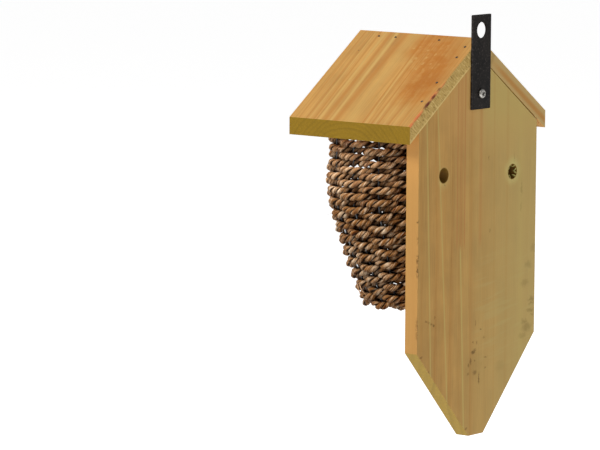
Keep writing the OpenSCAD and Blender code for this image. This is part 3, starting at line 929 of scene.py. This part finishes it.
def strand_rings(path, at, phase, seed):
    """Rings of one strand of a two-strand rope whose middle line is path."""
    tangent = unit(np.gradient(path, axis=0))
    up = np.array(UP, float)
    u = unit(up - tangent * (tangent @ up)[:, None])
    v = np.cross(tangent, u)
    # twist and thickness are uneven over some 17, 9 and 4 mm
    wander = 0.7 * smooth_random(len(path), 17 / STEP, seed)
    angle = (2 * math.pi * at / TWIST + phase + wander)[:, None]
    outward = np.cos(angle) * u - np.sin(angle) * v
    middle = path + STRAND_OFFSET * outward
    along = unit(np.gradient(middle, axis=0))
    outward = unit(outward - along * np.sum(outward * along, -1, keepdims=True))
    sideways = np.cross(along, outward)
    thick = (1.03 + 0.13 * smooth_random(len(path), 9 / STEP, seed + 1)
             + 0.07 * smooth_random(len(path), 4 / STEP, seed + 2))
    turn = math.pi + 2 * math.pi * np.arange(SIDES) / SIDES
    lumps = 1 + 0.05 * np.sin(turn[None] * 3 + at[:, None] * 0.9 + phase)
    r = STRAND_R * thick[:, None] * lumps
    return (middle[:, None] + (r * 0.96 * np.cos(turn))[..., None] * outward[:, None]
            + (r * 1.12 * np.sin(turn))[..., None] * sideways[:, None])


def tube_faces(ring_count, sides, first):
    """Quads between the rings of a tube whose corners are numbered from first."""
    i = np.arange(ring_count - 1)[:, None]
    k = np.arange(sides)[None]
    a, b = i * sides + k, i * sides + (k + 1) % sides
    return first + np.stack([a, b, b + sides, a + sides], -1).reshape(-1, 4)


def tubes_object(name, tubes, material, body):
    """One mesh from tubes: each is (rings, distances along, depth of each ring's corners)."""
    points, faces, uvs, depths, caps, first = [], [], [], [], [], 0
    for rings, at, depth in tubes:
        n, sides = rings.shape[:2]
        points.append(rings.reshape(-1, 3))
        depths.append(np.broadcast_to(depth, (n, sides)).ravel())
        faces.append(tube_faces(n, sides, first))
        turn = np.arange(sides + 1) / sides
        low, start = np.meshgrid(turn[:-1], at[:-1])
        high, end = np.meshgrid(turn[1:], at[1:])
        uv = np.stack([low, start, high, start, high, end, low, end], -1)
        uvs.append(uv.reshape(-1, 2))
        caps.append([first + k for k in range(sides)][::-1])
        caps.append([first + (n - 1) * sides + k for k in range(sides)])
        first += n * sides
    quads = np.concatenate(faces)
    points = to_row(np.concatenate(points))
    uv = np.concatenate(uvs)
    mesh = bpy.data.meshes.new(name)
    cap_loops = np.array([v for cap in caps for v in cap], int)
    loops = np.concatenate([quads.ravel(), cap_loops]).astype(np.int32)
    counts = np.array([4] * len(quads) + [len(cap) for cap in caps])
    starts = np.concatenate([[0], np.cumsum(counts)[:-1]]).astype(np.int32)
    mesh.vertices.add(len(points))
    mesh.vertices.foreach_set("co", points.astype(np.float32).ravel())
    mesh.loops.add(len(loops))
    mesh.loops.foreach_set("vertex_index", loops)
    mesh.polygons.add(len(counts))
    mesh.polygons.foreach_set("loop_start", starts)
    mesh.polygons.foreach_set("use_smooth", np.full(len(counts), True))
    mesh.update(calc_edges=True)
    layer = mesh.uv_layers.new(name="strand")
    all_uv = np.concatenate([uv, np.zeros((len(loops) - len(uv), 2))])
    layer.data.foreach_set("uv", all_uv.astype(np.float32).ravel())
    attribute = mesh.attributes.new(name="depth", type="FLOAT", domain="POINT")
    attribute.data.foreach_set("value", np.concatenate(depths).astype(np.float32))
    mesh.materials.append(material)
    mesh.validate()
    piece = bpy.data.objects.new(name, mesh)
    bpy.context.scene.collection.objects.link(piece)
    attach(piece, body)
    return piece


def rope_tubes(line, seed, raised=0.0):
    """The two strands of a rope. raised is added to each corner's depth."""
    line, at = resample(line, STEP)
    tubes = []
    for k, phase in enumerate((0.0, math.pi)):
        rings = strand_rings(line[:, :3], at, phase, seed + k)
        depth = np.sum((rings - line[:, None, 3:6]) * line[:, None, 6:], -1)
        tubes.append((rings, at, depth + raised))
    return tubes


RIM_SAMPLES = 900
RIM_START = 0.3             # turn angle where the ends of each turn of rope meet


def rim_paths():
    """Two turns of rope side by side round the rim wire."""
    turn = np.linspace(RIM_START, RIM_START + 2 * math.pi, RIM_SAMPLES)
    paths = []
    for offset, lift in ((SWING, 0.0), (-SWING, -0.3)):
        p, normal, _ = surface_frame(turn, np.full_like(turn, reach_of(RIM - 0.2)))
        middle = p + normal * offset
        middle[:, 2] += lift + 0.35 * np.sin(3 * turn) + 0.25 * np.sin(7 * turn + 1)
        paths.append(np.hstack([middle, p, normal]))
    return paths


FIBRES = 320
FIBRE_RINGS = 7
FIBRE_DEPTH = 6.0           # loose fibres stand clear of the wall, so they get no painted recess shade
FIBRE_AWAY = 20             # rings at each end of a strand that stay without fibres


def fibre_tube(start, heading, bend, length, radius, sides=4, flat=1.0):
    """A thin curved fibre that leaves start along heading and bends towards bend."""
    s = np.linspace(0, 1, FIBRE_RINGS)[:, None]
    path = start + heading * length * s + bend * length * s * s
    tangent = unit(np.gradient(path, axis=0))
    ref = np.array([0.31, 0.22, 0.92])
    u = unit(ref - tangent * (tangent @ ref)[:, None])
    v = np.cross(tangent, u)
    turn = 2 * math.pi * np.arange(sides) / sides
    taper = radius * (1 - 0.65 * s)
    rings = (path[:, None] + (taper * np.cos(turn))[..., None] * u[:, None]
             + (taper * flat * np.sin(turn))[..., None] * v[:, None])
    return rings, s[:, 0] * length, FIBRE_DEPTH


def loose_fibres(tubes):
    """Short grass ends that stand off the strands."""
    fibres = []
    for _ in range(FIBRES):
        rings, _, _ = tubes[rng.integers(2)]
        i = int(rng.integers(FIBRE_AWAY, len(rings) - FIBRE_AWAY))
        k = int(rng.integers(SIDES))
        middle = rings[i].mean(0)
        start = middle + (rings[i, k] - middle) * 0.8
        out = unit(start - middle)
        ahead = unit(rings[i + 3].mean(0) - rings[i - 3].mean(0)) * rng.choice([-1, 1])
        heading = unit(ahead + out * rng.uniform(0.1, 0.55))
        bend = rng.normal(0, 0.25, 3) + out * rng.uniform(-0.1, 0.25)
        length, radius = rng.uniform(3, 9), rng.uniform(0.12, 0.24)
        fibres.append(fibre_tube(start, heading, bend, length, radius))
    return fibres


# Sprung straws: turn angle, height, length, and tilt above the sideways direction.
STRAWS = [(1.23, 124, 16, -0.75), (1.29, 125, 15, -0.72), (1.35, 232, 8, 0.2),
          (0.62, 161, 5, 2.7), (0.7, 146, 5, 2.6), (0.75, 134, 4, 2.2),
          (2.4, 150, 9, 0.6), (5.2, 170, 10, -0.5)]
STRAW_R = 0.95


def straw_wisps(tubes):
    """The few broad pale straws that have sprung out of the rope."""
    corners = np.concatenate([rings.reshape(-1, 3) for rings, _, _ in tubes])
    wisps = []
    for turn, height, length, tilt in STRAWS:
        p, normal, side = surface_frame(np.array([turn]), np.array([reach_of(height)]))
        # it starts just inside the corner of a strand that is nearest to its place
        wanted = p[0] + normal[0] * (SWING + ROPE_R)
        nearest = corners[np.argmin(np.linalg.norm(corners - wanted, axis=1))]
        start = nearest - normal[0] * 0.3
        rise = np.array([0, 0, math.sin(tilt)])
        heading = unit(side[0] * math.cos(tilt) + rise + normal[0] * 0.4)
        bend = np.array([0, 0, -0.1]) - normal[0] * 0.42
        wisps.append(fibre_tube(start, heading, bend, length, STRAW_R, 6, 0.5))
    return wisps


# Splinters of the torn wall hole: angle round it in degrees, length and curl.
SPLINTERS = [(20, 3.4, 1.5), (48, 3, -1.2), (74, 2.6, 1.6), (128, 2.4, -1), (163, 3.2, 1.1),
             (195, 2.6, -1.4), (224, 3.2, 0.8), (292, 3.4, 1), (322, 2.8, -1.4), (348, 3, 1.2)]
SPLINTER_R = 0.85


def splinters():
    """Torn fibres that curl into the left wall hole at its rear edge."""
    x, z = TORN_HOLE
    torn = []
    for angle, length, curl in SPLINTERS:
        a = math.radians(angle)
        out = np.array([math.cos(a), 0, math.sin(a)])
        start = np.array([x, -0.6, z]) + out * (HOLE_R + 0.3)
        heading = unit(-out + np.array([0, -0.12, 0]))
        bend = np.array([-math.sin(a), 0, math.cos(a)]) * curl * 0.35 - np.array([0, 0.25, 0])
        torn.append(fibre_tube(start, heading, bend, length, SPLINTER_R, 6, 0.45))
    return torn


RIM_RAISED = 3.0            # the rim stands free, so less of it gets painted recess shade


def build_pocket():
    rope = rope_material("seagrass", FIBRE_DARK, FIBRE_MID, FIBRE_LIGHT)
    pale = rope_material("dry_straw", FIBRE_MID, DRY_MID, DRY_LIGHT)
    straw = rope_material("sprung_straw", FIBRE_MID, STRAW_MID, STRAW_LIGHT, False)
    torn_wood = rope_material("torn_wood", SPLINTER_DARK, SPLINTER_MID, SPLINTER_LIGHT, False)
    wall = rope_tubes(woven_path(), WALL_SEED)
    weave = tubes_object("woven_rope", wall, rope, "house")
    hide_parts("woven_pocket")
    rim_tubes = []
    for k, path in enumerate(rim_paths()):
        rim_tubes += rope_tubes(path, RIM_SEED + 5 * k, RIM_RAISED)
    rim = tubes_object("rim_twist", rim_tubes, rope, "house")
    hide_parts("rim_rope")
    fibres = tubes_object("loose_fibres", loose_fibres(wall), pale, "house")
    wisps = tubes_object("straw_wisps", straw_wisps(wall), straw, "house")
    torn = tubes_object("hole_splinters", splinters(), torn_wood, "house")


# ---------------------------------------------------------------- build

def dress_cad():
    set_material("backboard", backboard_material())
    set_material("roof_panel_right", roof_material("pine_roof_right", 1, RIGHT_PITH, 1.7))
    set_material("roof_panel_left", roof_material("pine_roof_left", -1, LEFT_PITH, 8.3))
    for name in ("backboard", "roof_panel_right", "roof_panel_left"):
        soften_edges(name, WOOD_WEAR)
    set_material("hanger_strap", black_paint())
    soften_edges("hanger_strap", STRAP_WEAR)
    set_material("strap_screw", plated("zinc_plate", ZINC, ZINC_DULL, 0.2))
    nail = plated("nail_heads", NAIL, NAIL_DULL, 0.45)
    for name in ("ridge_nails", "gable_nails_right", "gable_nails_left"):
        set_material(name, nail)
    set_material("pocket_staples", plated("staple_wire", STAPLE, STAPLE_DULL, 0.3))
    wire = rib_wire()
    for name in ["rim_wire", "base_wire"] + [f"rib_{i + 1:02d}" for i in range(RIBS)]:
        set_material(name, wire)
        for polygon in nodes[name].data.polygons:
            polygon.use_smooth = True


add_camera()
add_studio()
add_floor()
dress_cad()
build_pocket()
